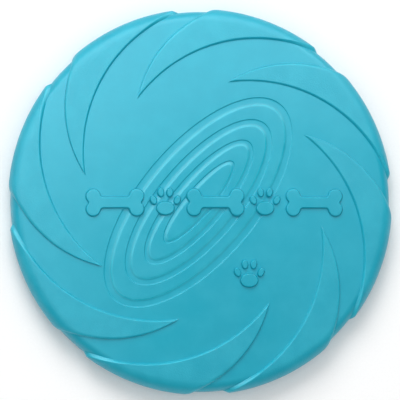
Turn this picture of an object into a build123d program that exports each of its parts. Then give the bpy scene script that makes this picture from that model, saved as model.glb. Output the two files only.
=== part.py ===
from build123d import *

import os
from math import atan2, cos, radians, sin, sqrt

# A soft rubber flying disc for a dog: a shallow domed plate that turns down into a thick rim, hollow underneath.
# Eight crescent vanes stand up from the dome and run out over the shoulder and down the rim like a pinwheel,
# four nested oval grooves lie in the middle of the dome, and raised bones and paw prints lie across them.
# The origin is on the disc's axis, on the plane that the rim stands on. +Z is up, through the crown.
# All sizes are in millimetres and all angles in degrees, turning from +X towards +Y.

# Dome, shoulder and rim.
DISC_DIAMETER = 180.0  # over the vanes
CROWN_HEIGHT = 22.0  # top of the plain dome above the plane that the rim stands on
CROWN_RADIUS = 420.0  # sphere radius of the dome
SHOULDER_RADIUS = 6.0  # round between the dome and the rim's outer wall
PLATE_THICKNESS = 2.6
RIM_THICKNESS = 6.0
ROOT_FILLET = 4.0  # inside, between the plate's underside and the rim
FOOT_OUTER_ROUND = 2.2
FOOT_INNER_ROUND = 1.8

# Vanes. Each is a crescent between two arcs that start at its tip. Its steep edge faces the middle of the disc and
# ends square on the rim's wall, and its slack edge faces away from the middle and runs out over the shoulder.
VANE_COUNT = 8
VANE_HEIGHT = 1.5  # at the rim
VANE_CROWN_RADIUS = 480.0  # sphere radius of the vanes' tops, flatter than the dome, so that the tips stand lower
VANE_TIP_RADIUS = 56.8  # from the disc's axis to the tip
VANE_TIP_ANGLE = 77.4
VANE_STEEP_ARC = 71.0
VANE_STEEP_SWEEP = 69.7  # angle about the disc's axis from the tip to the edge's end
VANE_SLACK_ARC = 57.0
VANE_SLACK_SWEEP = 37.3
VANE_FOOT_CLEARANCE = 0.4  # from the rim's foot round up to the end of a vane
VANE_FOOT_HEIGHT = 0.4  # how far a vane still stands out where it ends

# Oval grooves, from the innermost out: half the long and half the short axis of each outer wall, and its width.
OVALS = [(24.6, 6.4, 2.1), (36.7, 12.0, 3.2), (48.1, 19.0, 3.8), (59.9, 27.3, 4.3)]
OVAL_CENTRE = (-2.4, -0.8)
OVAL_TILT = 49.3
GROOVE_DEPTH = 0.6

# Raised motifs: a row of bones and paw prints in turn along X, and one more paw print below the row.
MOTIF_HEIGHT = 1.3
BONE_COUNT = 3
BONE_SHAFT = 5.4
KNOB_RADIUS = 3.5
KNOB_SPREAD = 3.0  # from the bone's long axis to a knob's centre
PAW_WIDTH = 14.4
MOTIF_GAP = 2.6
ROW_HEIGHT = -1.0  # the row's line along Y
ROW_LEFT_CLEARANCE = 15.9  # from the row's end to the steep edge of the vane beyond it
ROW_RIGHT_CLEARANCE = 5.6
LOW_PAW_CENTRE = (21.0, -34.5)

# A paw print's pads, as shares of its width: across, up, and for toes the lean.
HEEL_SIZE = (0.60, 0.46)
HEEL_CENTRE = -0.19
TOE_SIZE = (0.22, 0.31)
TOES = [(-0.385, 0.07, 24.0), (-0.145, 0.32, 8.0), (0.145, 0.32, -8.0), (0.385, 0.07, -24.0)]

BODY_RADIUS = DISC_DIAMETER / 2 - VANE_HEIGHT
PITCH = 360 / VANE_COUNT
CROWN_CENTRE = CROWN_HEIGHT - CROWN_RADIUS
SHOULDER_AXIS = BODY_RADIUS - SHOULDER_RADIUS  # radius at which the shoulder's centre lies
PARTING_HEIGHT = CROWN_CENTRE + sqrt((CROWN_RADIUS - SHOULDER_RADIUS) ** 2 - SHOULDER_AXIS**2)
RIM_BORE = BODY_RADIUS - RIM_THICKNESS
VANE_FOOT = FOOT_OUTER_ROUND + VANE_FOOT_CLEARANCE


def tangent_arc(centre_height, joins):
    """The shoulder's arc of radius joins, from its tangent point with a cap down to the widest line.

    The cap is a sphere about a point on the axis, at that height.
    """
    turn = atan2(PARTING_HEIGHT - centre_height, SHOULDER_AXIS)
    start, middle, end = [
        Vector(SHOULDER_AXIS + joins * cos(share * turn), PARTING_HEIGHT + joins * sin(share * turn))
        for share in (1, 0.5, 0)
    ]
    return ThreePointArc(start, middle, end)


def cap_arc(centre_height, radius, start, end):
    """The arc of a sphere about a point on the axis, between two distances from the axis."""
    points = [
        Vector(at, centre_height + sqrt(radius**2 - at**2)) for at in (start, (start + end) / 2, end)
    ]
    return ThreePointArc(*points)


def disc_body():
    """The plain moulding: dome, shoulder, rim and hollow, with no grooves, cut by nothing."""
    shoulder = tangent_arc(CROWN_CENTRE, SHOULDER_RADIUS)
    crown = cap_arc(CROWN_CENTRE, CROWN_RADIUS, 0, (shoulder @ 0).X)
    under_radius = CROWN_RADIUS - PLATE_THICKNESS
    under = cap_arc(CROWN_CENTRE, under_radius, 0, RIM_BORE)
    outline = [
        crown,
        shoulder,
        Polyline((BODY_RADIUS, PARTING_HEIGHT), (BODY_RADIUS, 0), (RIM_BORE, 0), under @ 1),
        under,
        Line(under @ 0, crown @ 0),
    ]
    section = make_face(outline)
    section = fillet(section.vertices().group_by(Axis.Y)[0].sort_by(Axis.X)[-1], FOOT_OUTER_ROUND)
    section = fillet(section.vertices().group_by(Axis.Y)[0].sort_by(Axis.X)[0], FOOT_INNER_ROUND)
    root = section.vertices().sort_by_distance(Vector(RIM_BORE, (under @ 1).Y))[0]
    section = fillet(root, ROOT_FILLET)
    return revolve(Plane.XZ * section, Axis.Z)


def polar(radius, angle):
    """A point in the plan at that distance from the axis and that angle."""
    return Vector(radius * cos(radians(angle)), radius * sin(radians(angle)))


def bowed_arc(start, end, radius):
    """The arc of that radius from start to end that bows away from the disc's axis."""
    half = (end - start).length / 2
    middle = (start + end) / 2
    away = middle - (end - start) * (middle.dot(end - start) / (2 * half) ** 2)
    bulge = radius - sqrt(radius**2 - half**2)
    return ThreePointArc(start, middle + away.normalized() * bulge, end)


def vane_blank():
    """The ring of rubber that all vanes are cut from: from the body's skin out to the vanes' tops."""
    inner = VANE_TIP_RADIUS / 2
    base_shoulder = tangent_arc(CROWN_CENTRE, SHOULDER_RADIUS)
    base_crown = cap_arc(CROWN_CENTRE, CROWN_RADIUS, inner, (base_shoulder @ 0).X)
    joins = SHOULDER_RADIUS + VANE_HEIGHT
    centre = PARTING_HEIGHT - sqrt((VANE_CROWN_RADIUS - joins) ** 2 - SHOULDER_AXIS**2)
    shoulder = tangent_arc(centre, joins)
    crown = cap_arc(centre, VANE_CROWN_RADIUS, inner, (shoulder @ 0).X)
    foot = Vector(BODY_RADIUS + VANE_FOOT_HEIGHT, VANE_FOOT)
    outline = [
        base_crown,
        base_shoulder,
        Polyline((BODY_RADIUS, PARTING_HEIGHT), (BODY_RADIUS, VANE_FOOT), foot),
        TangentArc((DISC_DIAMETER / 2, PARTING_HEIGHT), foot, tangent=(0, -1)),
        shoulder,
        crown,
        Line(crown @ 0, base_crown @ 0),
    ]
    return revolve(Plane.XZ * make_face(outline), Axis.Z)


def steep_edge():
    """The first vane's edge that faces the middle of the disc."""
    tip = polar(VANE_TIP_RADIUS, VANE_TIP_ANGLE)
    return bowed_arc(tip, polar(BODY_RADIUS, VANE_TIP_ANGLE - VANE_STEEP_SWEEP), VANE_STEEP_ARC)


def crescent():
    """The plan of the first vane, carried on past the rim so that the blank ends it there."""
    steep = steep_edge()
    slack = bowed_arc(steep @ 0, polar(DISC_DIAMETER / 2, VANE_TIP_ANGLE - VANE_SLACK_SWEEP), VANE_SLACK_ARC)
    ends = [edge @ 1 + (edge @ 1).normalized() * DISC_DIAMETER for edge in (steep, slack)]
    return make_face([steep, slack, Polyline(steep @ 1, *ends, slack @ 1)])


def around(shape):
    """The shape, once for each vane."""
    return [Rot(0, 0, n * PITCH) * shape for n in range(VANE_COUNT)]


def clear_of_vanes(outline):
    """The part of a plan outline that no vane covers."""
    return outline - around(crescent())


def oval_groove(long_half, short_half, width):
    """A cutter for one groove: the ring between two ellipses, down to the groove's floor in the dome."""
    ring = Ellipse(long_half, short_half) - Ellipse(long_half - width, short_half - width)
    ring = clear_of_vanes(Pos(*OVAL_CENTRE) * Rot(0, 0, OVAL_TILT) * ring)
    floor = Pos(0, 0, CROWN_CENTRE) * Sphere(CROWN_RADIUS - GROOVE_DEPTH)
    return extrude(ring, CROWN_HEIGHT + 1) - floor


def split_body(body):
    """The flight plate above the parting plane, with its grooves, and the rim below it."""
    block = Box(DISC_DIAMETER, DISC_DIAMETER, CROWN_HEIGHT, align=(Align.CENTER, Align.CENTER, Align.MIN))
    above = Pos(0, 0, PARTING_HEIGHT) * block
    plate = body & above
    for oval in OVALS:
        plate = plate - oval_groove(*oval)
    return plate, body - above


def steep_reach():
    """Distance from the axis, along X, to the steep edge of the vane that lies across X."""
    ray = Line((0, 0), (DISC_DIAMETER, 0))
    crossings = [edge.intersect(ray) for edge in around(steep_edge())]
    return min(point.X for found in crossings if found for point in found.vertices())


def motif_row():
    """The bones' length, and where the row's bones and paw prints lie along X.

    The row fills the dome between two opposite vanes, but for its clearances, and the bones take up what the paw
    prints and the gaps leave.
    """
    reach = steep_reach()
    left, right = ROW_LEFT_CLEARANCE - reach, reach - ROW_RIGHT_CLEARANCE
    pitch = (right - left + PAW_WIDTH + 2 * MOTIF_GAP) / BONE_COUNT
    bone_length = pitch - PAW_WIDTH - 2 * MOTIF_GAP
    bones = [left + bone_length / 2 + n * pitch for n in range(BONE_COUNT)]
    return bone_length, bones, [x + pitch / 2 for x in bones[:-1]]


def bone(length):
    """A bone seen from above, lying along X: a shaft with two knobs at each end."""
    reach = length / 2 - KNOB_RADIUS
    shaft = Rectangle(2 * reach, BONE_SHAFT)
    knobs = [Pos(x, y) * Circle(KNOB_RADIUS) for x in (-reach, reach) for y in (-KNOB_SPREAD, KNOB_SPREAD)]
    return shaft + knobs


def paw():
    """A paw print seen from above: a broad heel pad and four toe pads."""
    heel = Pos(0, HEEL_CENTRE * PAW_WIDTH) * Ellipse(*(PAW_WIDTH * share / 2 for share in HEEL_SIZE))
    toe = Ellipse(*(PAW_WIDTH * share / 2 for share in TOE_SIZE))
    toes = [Pos(x * PAW_WIDTH, y * PAW_WIDTH) * Rot(0, 0, lean) * toe for x, y, lean in TOES]
    return [heel, *toes]


def raised(outlines, plate):
    """Raised pads of those outlines on the dome, which also fill the grooves that they cross."""
    top = Pos(0, 0, CROWN_CENTRE) * Sphere(CROWN_RADIUS + MOTIF_HEIGHT)
    bed = Pos(0, 0, CROWN_CENTRE) * Sphere(CROWN_RADIUS - GROOVE_DEPTH)
    blanks = [extrude(clear_of_vanes(outline), CROWN_HEIGHT + 2 * MOTIF_HEIGHT) for outline in outlines]
    return [(blank & top) - bed - plate for blank in blanks]


def save(name, shapes):
    """Writes one node from one shape or several separate ones."""
    solids = [solid for shape in shapes for solid in shape.solids()]
    shape = solids[0] if len(solids) == 1 else Compound(children=solids)
    export_step(shape, f"parts/{name}.step")
    print(name, len(solids), "solids", round(sum(solid.volume for solid in solids), 1), "mm3")


def main():
    os.makedirs("parts", exist_ok=True)
    plate, rim = split_body(disc_body())
    save("flight_plate", [plate])
    save("rim", [rim])

    first = vane_blank() & extrude(crescent(), CROWN_HEIGHT + 2 * VANE_HEIGHT)
    for n, vane in enumerate(around(first)):
        save(f"vane_{n + 1}", [vane])

    bone_length, bone_places, paw_places = motif_row()
    for n, x in enumerate(bone_places):
        save(f"bone_motif_{n + 1}", raised([Pos(x, ROW_HEIGHT) * bone(bone_length)], plate))
    for n, centre in enumerate([*((x, ROW_HEIGHT) for x in paw_places), LOW_PAW_CENTRE]):
        save(f"paw_motif_{n + 1}", raised([Pos(*centre) * pad for pad in paw()], plate))


main()
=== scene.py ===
"""A soft rubber flying disc for a dog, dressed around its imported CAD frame.

The disc is one moulding: a shallow dome that turns down into a thick rim, eight crescent vanes
that stand up from it like a pinwheel, four nested oval grooves, and raised bones and paw prints.
Every visible piece is a surface worked out as whole arrays of points, closed by a hidden underside
that lies inside the rubber beside it.

Lengths are metres and angles are radians, in the frame's own axes: +Z up along the disc's axis,
with z = 0 in the plane that the rim stands on.
"""

import logging
from dataclasses import dataclass
from enum import Enum
from functools import cached_property
from math import atan2, cos, pi, radians, sin, sqrt
from typing import Sequence

import bmesh
import bpy
import numpy as np
from mathutils import Matrix, Vector


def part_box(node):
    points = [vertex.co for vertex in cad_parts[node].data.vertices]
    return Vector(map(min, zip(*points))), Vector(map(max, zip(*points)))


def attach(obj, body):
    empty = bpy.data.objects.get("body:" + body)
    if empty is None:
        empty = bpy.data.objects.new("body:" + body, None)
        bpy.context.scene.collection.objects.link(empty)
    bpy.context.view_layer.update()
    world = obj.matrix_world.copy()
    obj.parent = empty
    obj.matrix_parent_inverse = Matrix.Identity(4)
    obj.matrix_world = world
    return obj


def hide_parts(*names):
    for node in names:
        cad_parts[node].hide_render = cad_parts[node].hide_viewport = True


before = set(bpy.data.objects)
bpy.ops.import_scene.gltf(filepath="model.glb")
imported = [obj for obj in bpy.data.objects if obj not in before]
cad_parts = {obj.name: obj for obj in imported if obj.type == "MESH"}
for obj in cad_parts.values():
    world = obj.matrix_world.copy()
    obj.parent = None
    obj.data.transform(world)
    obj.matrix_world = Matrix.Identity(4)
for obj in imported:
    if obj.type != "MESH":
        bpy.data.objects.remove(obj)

LOG = logging.getLogger("flying_disc")
BODY = "root"
MM = 0.001
TURN = 2 * pi
WELD_DISTANCE = 1e-7
SMALLEST = 1e-9  # least angle that anything is divided by
SHARP_ANGLE = radians(50)
ROUND_COLUMNS = 480  # points round the disc on the plate and the rim
ELLIPSE_POINTS = 96  # points round an oval pad
SINK = 0.12 * MM  # how far a raised feature's foot dips under the skin that it stands on
ROOT_DEPTH = 0.85 * MM  # how far a raised feature's hidden underside lies below that skin

Array = np.ndarray
Pair = tuple[float, float]
Triple = tuple[float, float, float]
Colour = tuple[float, float, float, float]


# Surfaces


@dataclass(frozen=True)
class Grid:
    """A surface as rows and columns of points.

    Attributes:
        points: Corner points, shaped (rows, columns, 3). The last column joins the first.
        rise: How far up a moulded edge each point is, shaped (rows, columns): 0 at its foot, and 1
        on plain surface. Rubbed crests with their painted highlight, and dust with painted
        shade in the creases, follow it.
        inner: 1 where the surface is the disc's underside, 0 elsewhere.
    """

    points: Array
    rise: Array
    inner: float = 0.0

    def quads(self, first: int) -> Array:
        """Corner numbers of the quads between neighbouring points.

        Args:
            first: Number of the grid's first point in the mesh that it goes into.

        Returns:
            Whole numbers, shaped (quads, 4), in order round each quad.
        """
        rows, columns = self.rise.shape
        row = first + np.arange(rows - 1)[:, None] * columns
        column = np.arange(columns)[None, :]
        beside = (column + 1) % columns
        corners = [row + column, row + columns + column, row + columns + beside, row + beside]
        return np.stack(corners, axis=-1).reshape(-1, 4)


def make_piece(name: str, grids: Sequence[Grid]) -> bpy.types.Object:
    """Builds one closed, smooth mesh object from surface grids.

    Points that meet, at seams and poles, are welded, and the faces are then turned outwards.

    Args:
        name: The piece's name.
        grids: Its surfaces, which together enclose it.

    Returns:
        The new object, at the origin, with point attributes "rise" and "inner".
    """
    starts = np.cumsum([0] + [grid.rise.size for grid in grids[:-1]])
    points = np.concatenate([grid.points.reshape(-1, 3) for grid in grids])
    quads = np.concatenate([grid.quads(int(start)) for grid, start in zip(grids, starts)])
    rise = np.concatenate([grid.rise.ravel() for grid in grids])
    inner = np.concatenate([np.full(grid.rise.size, grid.inner) for grid in grids])

    mesh = bpy.data.meshes.new(name)
    mesh.from_pydata(points.tolist(), [], quads.tolist())
    for key, values in (("rise", rise), ("inner", inner)):
        attribute = mesh.attributes.new(key, "FLOAT", "POINT")
        attribute.data.foreach_set("value", values.astype(np.float32))
    shell = bmesh.new()
    shell.from_mesh(mesh)
    bmesh.ops.remove_doubles(shell, verts=shell.verts, dist=WELD_DISTANCE)
    bmesh.ops.recalc_face_normals(shell, faces=shell.faces)
    shell.to_mesh(mesh)
    shell.free()
    mesh.shade_smooth()
    mesh.set_sharp_from_angle(angle=SHARP_ANGLE)
    piece = bpy.data.objects.new(name, mesh)
    bpy.context.scene.collection.objects.link(piece)
    LOG.info("%s: %d faces, %d points", name, len(mesh.polygons), len(mesh.vertices))
    return piece


def mount(piece: bpy.types.Object, node: str, finish: "RubberFinish") -> None:
    """Gives a piece its finish, and has it ride on the disc's body in place of its CAD node.

    Args:
        piece: The piece.
        node: The CAD node that it stands for.
        finish: Its finish.
    """
    piece.data.materials.append(finish.material)
    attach(piece, BODY)
    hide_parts(node)


def evenly(start: float, end: float, steps: int) -> Array:
    """Evenly spaced values from start to end, both included."""
    return np.linspace(start, end, steps + 1)


def round_angles(count: int) -> Array:
    """Evenly spaced angles once round, from 0."""
    return np.arange(count) * TURN / count


def revolve(profile: Array, angles: Array, inner: float = 0.0) -> Grid:
    """Turns a profile about the disc's axis: x = r cos, y = r sin, z = z.

    Args:
        profile: Distances from the axis and heights, shaped (points, 2).
        angles: Angles about the axis, once round.
        inner: 1 where the surface is the disc's underside.

    Returns:
        The grid, with one row for each point of the profile.
    """
    r, z = profile[:, :1], profile[:, 1:]
    points = np.stack([r * np.cos(angles), r * np.sin(angles), z + 0 * angles], axis=-1)
    return Grid(points, np.ones(points.shape[:2]), inner)


def arc(centre: Pair, radius: float, start: float, end: float, steps: int) -> Array:
    """Points along a circular arc: centre + radius (cos, sin) of evenly spaced angles.

    Args:
        centre: The circle's centre.
        radius: Its radius.
        start: Angle of the first point.
        end: Angle of the last point.
        steps: Number of spans.

    Returns:
        The points, shaped (steps + 1, 2).
    """
    turn = evenly(start, end, steps)
    return np.stack([centre[0] + radius * np.cos(turn), centre[1] + radius * np.sin(turn)], axis=-1)


def eased(share: Array) -> Array:
    """The share s, held between 0 and 1, eased to 3 s^2 - 2 s^3."""
    s = np.clip(share, 0, 1)
    return s * s * (3 - 2 * s)


class EdgeForm(Enum):
    """How a moulded edge climbs from its foot to its top."""

    STEEP = "steep"
    SLACK = "slack"

    def climb(self, inside: Array, foot: float, crest: Array) -> Array:
        """Share of the full height at a distance inside the edge.

        A steep edge is an S: a fillet at the foot, a wall and a round at the top, by
        3 t^2 - 2 t^3. A slack edge is a quarter of an ellipse, sqrt(1 - (1 - t)^2), which leaves
        its foot upright and levels out at the top.

        Args:
            inside: Distance inside the edge, negative outside it.
            foot: How far outside the edge the climb starts.
            crest: How far inside the edge the climb ends.

        Returns:
            The share, from 0 at the start to 1 at the end.
        """
        t = np.clip((inside + foot) / (foot + crest), 0, 1)
        if self is EdgeForm.STEEP:
            return eased(t)
        return np.sqrt(1 - (1 - t) ** 2)


# The disc's plain form


@dataclass(frozen=True)
class DiscForm:
    """The disc without its vanes, grooves and motifs, as a profile about its axis.

    Attributes:
        body_radius: Widest radius, between the vanes.
        crown_height: Height of the dome's top.
        crown_radius: Radius of the dome's sphere.
        shoulder_radius: Radius of the round that turns the dome down into the rim's wall.
        plate_thickness: Wall of the dome.
        rim_thickness: Thickness of the rim, from its outer wall to its bore.
        root_fillet: Radius of the fillet between the dome's underside and the bore.
        foot_outer_round: Radius of the round under the rim's outer wall.
        foot_inner_round: Radius of the round under the bore.
        bead_height: How far the mould's parting bead stands out.
        bead_drop: How far below the parting height the bead has its crest.
        bead_spread: Distance from that crest at which the bead has sunk to about a third.
    """

    body_radius: float
    crown_height: float
    crown_radius: float = 420 * MM
    shoulder_radius: float = 6 * MM
    plate_thickness: float = 2.6 * MM
    rim_thickness: float = 6 * MM
    root_fillet: float = 4 * MM
    foot_outer_round: float = 2.2 * MM
    foot_inner_round: float = 1.8 * MM
    bead_height: float = 0.09 * MM
    bead_drop: float = 0.5 * MM
    bead_spread: float = 0.2 * MM

    @classmethod
    def from_frame(cls) -> "DiscForm":
        """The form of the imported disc."""
        low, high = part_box("rim")
        return cls(body_radius=(high.x - low.x) / 2, crown_height=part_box("flight_plate")[1].z)

    @property
    def centre(self) -> float:
        """Height of the dome's sphere centre."""
        return self.crown_height - self.crown_radius

    @property
    def shoulder_axis(self) -> float:
        """Distance from the disc's axis to the centre of the shoulder's round."""
        return self.body_radius - self.shoulder_radius

    @property
    def parting(self) -> float:
        """Height of the widest line, where the mould parts."""
        reach = self.crown_radius - self.shoulder_radius
        return self.centre + sqrt(reach**2 - self.shoulder_axis**2)

    @property
    def turn_angle(self) -> float:
        """Slope of the skin's normal where the dome meets the shoulder."""
        return atan2(self.parting - self.centre, self.shoulder_axis)

    @property
    def turn_radius(self) -> float:
        """Distance from the axis at which the dome meets the shoulder."""
        return self.crown_radius * cos(self.turn_angle)

    @property
    def wall_run(self) -> float:
        """Run along the skin at which the shoulder meets the rim's upright wall."""
        return self.turn_radius + self.shoulder_radius * self.turn_angle

    @property
    def bore(self) -> float:
        """Radius of the rim's inner wall."""
        return self.body_radius - self.rim_thickness

    def dome(self, x: Array, y: Array) -> Array:
        """Height of the dome over a point of the plan: centre + sqrt(R^2 - x^2 - y^2)."""
        return self.centre + np.sqrt(self.crown_radius**2 - x**2 - y**2)

    def skin(self, run: Array) -> tuple[Array, Array, Array, Array]:
        """The plain outer skin, in the half-plane through the axis.

        On the dome, the run is the distance from the axis. Past the dome, it grows by the length
        round the shoulder's arc and then by the drop down the rim's wall.

        Args:
            run: Places along the skin.

        Returns:
            Distance from the axis, height, and the outward normal's outward and upward parts, each
            shaped as run.
        """
        past = np.maximum(run - self.turn_radius, 0)
        angle = np.maximum(self.turn_angle - past / self.shoulder_radius, 0)
        drop = np.maximum(run - self.wall_run, 0)
        on_dome = run < self.turn_radius
        out = np.where(on_dome, run / self.crown_radius, np.cos(angle))
        up = np.sqrt(1 - out**2)
        r = np.where(on_dome, run, self.shoulder_axis + self.shoulder_radius * out)
        z_dome = self.centre + self.crown_radius * up
        z_past = self.parting + self.shoulder_radius * up - drop
        return r, np.where(on_dome, z_dome, z_past), out, up

    def bead(self, z: Array) -> Array:
        """How far the parting bead stands out: height * exp(-((z - its crest) / spread)^2)."""
        away = (z - self.parting + self.bead_drop) / self.bead_spread
        return self.bead_height * np.exp(-(away**2))


# The plate and the rim


@dataclass(frozen=True)
class OvalGroove:
    """One oval groove: half of each axis of its outer wall, and its width."""

    long_half: float
    short_half: float
    width: float


@dataclass(frozen=True)
class FlightPlate:
    """The dome and shoulder above the mould's parting line, with four nested oval grooves on top.

    Attributes:
        form: The disc's plain form.
        centre: Middle of the ovals in the plan.
        tilt: Angle of their long axes from X.
        ovals: The grooves, from the smallest.
        depth: Depth of their floors.
        lip: How far past each wall's line the surface starts to fall.
        margin: How far past each wall's line a groove's own rings start, in lips.
        outer_fall: Width of the crisp outer wall.
        inner_fall: Width of the soft inner wall.
    """

    form: DiscForm
    centre: Pair = (-2.4 * MM, -0.8 * MM)
    tilt: float = radians(49.3)
    ovals: tuple[OvalGroove, ...] = (
        OvalGroove(24.6 * MM, 6.4 * MM, 2.1 * MM),
        OvalGroove(36.7 * MM, 12.0 * MM, 3.2 * MM),
        OvalGroove(48.1 * MM, 19.0 * MM, 3.8 * MM),
        OvalGroove(59.9 * MM, 27.3 * MM, 4.3 * MM),
    )
    depth: float = 0.45 * MM
    lip: float = 0.2 * MM
    margin: float = 1.2
    outer_fall: float = 0.42 * MM
    inner_fall: float = 1.9 * MM

    def _ring_table(self) -> Array:
        """The rings of points from the middle of the dome out to the last groove.

        Returns:
            One row for each ring: half its long axis, half its short axis, and how deep it lies in
            a groove, as depth * eased(outer share) * eased(inner share).
        """
        start = self.margin * self.lip
        first = self.ovals[0]
        reach = first.width + start
        middle = [[first.long_half - reach, first.short_half - reach, 0]]
        tables = [evenly(0, 1, steps=8)[:-1, None] * middle]
        for oval, following in zip(self.ovals, self.ovals[1:] + (None,)):
            soft_end = oval.width + self.lip - self.inner_fall
            soft = evenly(oval.width + start, soft_end, steps=9)[:-1]
            crisp = evenly(self.outer_fall - self.lip, -start, steps=8)
            floor = evenly(soft[-1], crisp[0], steps=4)[1:-1]
            inset = np.concatenate([soft, floor, crisp])
            outer = eased((inset + self.lip) / self.outer_fall)
            inner = eased((oval.width + self.lip - inset) / self.inner_fall)
            depth = self.depth * outer * inner
            rings = np.stack([oval.long_half - inset, oval.short_half - inset, depth], axis=-1)
            tables.append(rings)
            if following is not None:
                reach = following.width + start
                end = np.array([following.long_half - reach, following.short_half - reach, 0])
                share = evenly(0, 1, steps=5)[1:-1, None]
                tables.append(rings[-1:] * (1 - share) + end * share)
        return np.concatenate(tables)

    def _top(self, columns: Array) -> Grid:
        """The plate's top: tilted ellipses, laid on the dome, that open into circles further out.

        Args:
            columns: Angles round each ellipse, measured from its long axis.

        Returns:
            The grid from the pole out to the parting line.
        """
        table = self._ring_table()
        share = evenly(0, 1, steps=14)[1:, None]
        edge = np.array([[self.form.turn_radius, self.form.turn_radius, 0]])
        shift = np.concatenate([np.ones(len(table)), 1 - share.ravel()])[:, None]
        table = np.concatenate([table, table[-1:] * (1 - share) + edge * share])
        along = table[:, :1] * np.cos(columns)
        across = table[:, 1:2] * np.sin(columns)
        x = shift * self.centre[0] + along * cos(self.tilt) - across * sin(self.tilt)
        y = shift * self.centre[1] + along * sin(self.tilt) + across * cos(self.tilt)
        z = self.form.dome(x, y) - table[:, 2:]
        rise = np.repeat(1 - table[:, 2:] / self.depth, len(columns), axis=1)

        run = evenly(self.form.turn_radius, self.form.wall_run, steps=16)[1:]
        r, shoulder_z, _, _ = self.form.skin(run)
        shoulder = revolve(np.stack([r, shoulder_z], axis=-1), columns + self.tilt)
        points = np.concatenate([np.stack([x, y, z], axis=-1), shoulder.points])
        return Grid(points, np.concatenate([rise, shoulder.rise]))

    def _underside(self, columns: Array) -> Grid:
        """The parting face, the root fillet and the hollow's ceiling, turned about the axis.

        Args:
            columns: The angles of the top's columns, measured from the ovals' long axis.

        Returns:
            The grid, from the parting line in to the ceiling's pole.
        """
        form = self.form
        radius = form.crown_radius - form.plate_thickness
        fillet_x = form.bore - form.root_fillet
        fillet_z = form.centre + sqrt((radius - form.root_fillet) ** 2 - fillet_x**2)
        lean = atan2(fillet_z - form.centre, fillet_x)
        parting_face = [[form.body_radius, form.parting], [form.bore, form.parting]]
        fillet = arc((fillet_x, fillet_z), form.root_fillet, 0, lean, steps=14)
        ceiling_r = evenly(fillet[-1, 0], 0, steps=14)[1:]
        ceiling_z = form.centre + np.sqrt(radius**2 - ceiling_r**2)
        ceiling = np.stack([ceiling_r, ceiling_z], axis=-1)
        profile = np.concatenate([parting_face, fillet, ceiling])
        return revolve(profile, columns + self.tilt, inner=1.0)

    def build(self) -> bpy.types.Object:
        """Builds the plate as one closed piece."""
        columns = round_angles(ROUND_COLUMNS)
        return make_piece("domed_plate", [self._top(columns), self._underside(columns)])

    def dress(self, piece: bpy.types.Object, finish: "RubberFinish") -> None:
        """Gives the plate its finish and its place on the frame."""
        mount(piece, "flight_plate", finish)


@dataclass(frozen=True)
class Rim:
    """The thick rim below the parting line, with its parting bead and its rounded foot.

    Attributes:
        form: The disc's plain form.
        bead_band: Height of the crowded rows that carry the bead.
    """

    form: DiscForm
    bead_band: float = 1.3 * MM

    def build(self) -> bpy.types.Object:
        """Builds the rim: a closed profile turned about the axis.

        The profile goes down the outside, round the foot and up the bore.

        Returns:
            The rim.
        """
        form = self.form
        outer, inner = form.foot_outer_round, form.foot_inner_round
        bead_z = evenly(form.parting, form.parting - self.bead_band, steps=18)
        wall_z = np.concatenate([bead_z, evenly(bead_z[-1], outer, steps=5)[1:]])
        wall = np.stack([form.body_radius + form.bead(wall_z), wall_z], axis=-1)
        foot = arc((form.body_radius - outer, outer), outer, 0, -pi / 2, steps=12)[1:]
        land_r = evenly(foot[-1, 0], form.bore + inner, steps=3)[1:-1]
        land = np.stack([land_r, 0 * land_r], axis=-1)
        heel = arc((form.bore + inner, inner), inner, -pi / 2, -pi, steps=10)
        bore_z = evenly(inner, form.parting, steps=6)[1:]
        bore = np.stack([np.full(len(bore_z), form.bore), bore_z], axis=-1)
        columns = round_angles(ROUND_COLUMNS)
        outside = revolve(np.concatenate([wall, foot, land, heel[:1]]), columns)
        inside = revolve(np.concatenate([heel, bore, wall[:1]]), columns, inner=1.0)
        return make_piece("rounded_rim", [outside, inside])

    def dress(self, piece: bpy.types.Object, finish: "RubberFinish") -> None:
        """Gives the rim its finish and its place on the frame."""
        mount(piece, "rim", finish)


# The vanes


@dataclass(frozen=True)
class PlanArc:
    """A circular edge in the plan, with its centre given from the disc's axis.

    Attributes:
        distance: The centre's distance from the axis.
        angle: The centre's angle about the axis.
        radius: The arc's radius.
    """

    distance: float
    angle: float
    radius: float

    @classmethod
    def through(cls, start: Array, end: Array, radius: float) -> "PlanArc":
        """The arc between two points that bows away from the disc's axis.

        The centre lies on the chord's bisector, sqrt(radius^2 - (chord / 2)^2) back from its
        middle towards the axis.

        Args:
            start: One end of the arc.
            end: Its other end.
            radius: Its radius.

        Returns:
            The arc.
        """
        chord = end - start
        middle = (start + end) / 2
        away = middle - chord * (middle @ chord) / (chord @ chord)
        away = away / np.linalg.norm(away)
        centre = middle - away * sqrt(radius**2 - (chord @ chord) / 4)
        return cls(float(np.linalg.norm(centre)), atan2(centre[1], centre[0]), radius)

    def at(self, r: Array, offset: Array) -> Array:
        """Angle about the axis at which the arc, made larger by an offset, reaches a distance.

        By the cosine rule, it is angle + arccos((r^2 + distance^2 - radius^2) / (2 r distance)).

        Args:
            r: Distances from the axis.
            offset: Added to the arc's radius.

        Returns:
            The angles.
        """
        square = r**2 + self.distance**2 - (self.radius + offset) ** 2
        share = square / (2 * r * self.distance)
        return self.angle + np.arccos(np.clip(share, -1, 1))

    def outside(self, r: Array, angle: Array) -> Array:
        """How far outside the arc's circle a point of the plan lies, negative inside it."""
        square = r**2 + self.distance**2 - 2 * r * self.distance * np.cos(angle - self.angle)
        return np.sqrt(square) - self.radius


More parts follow.
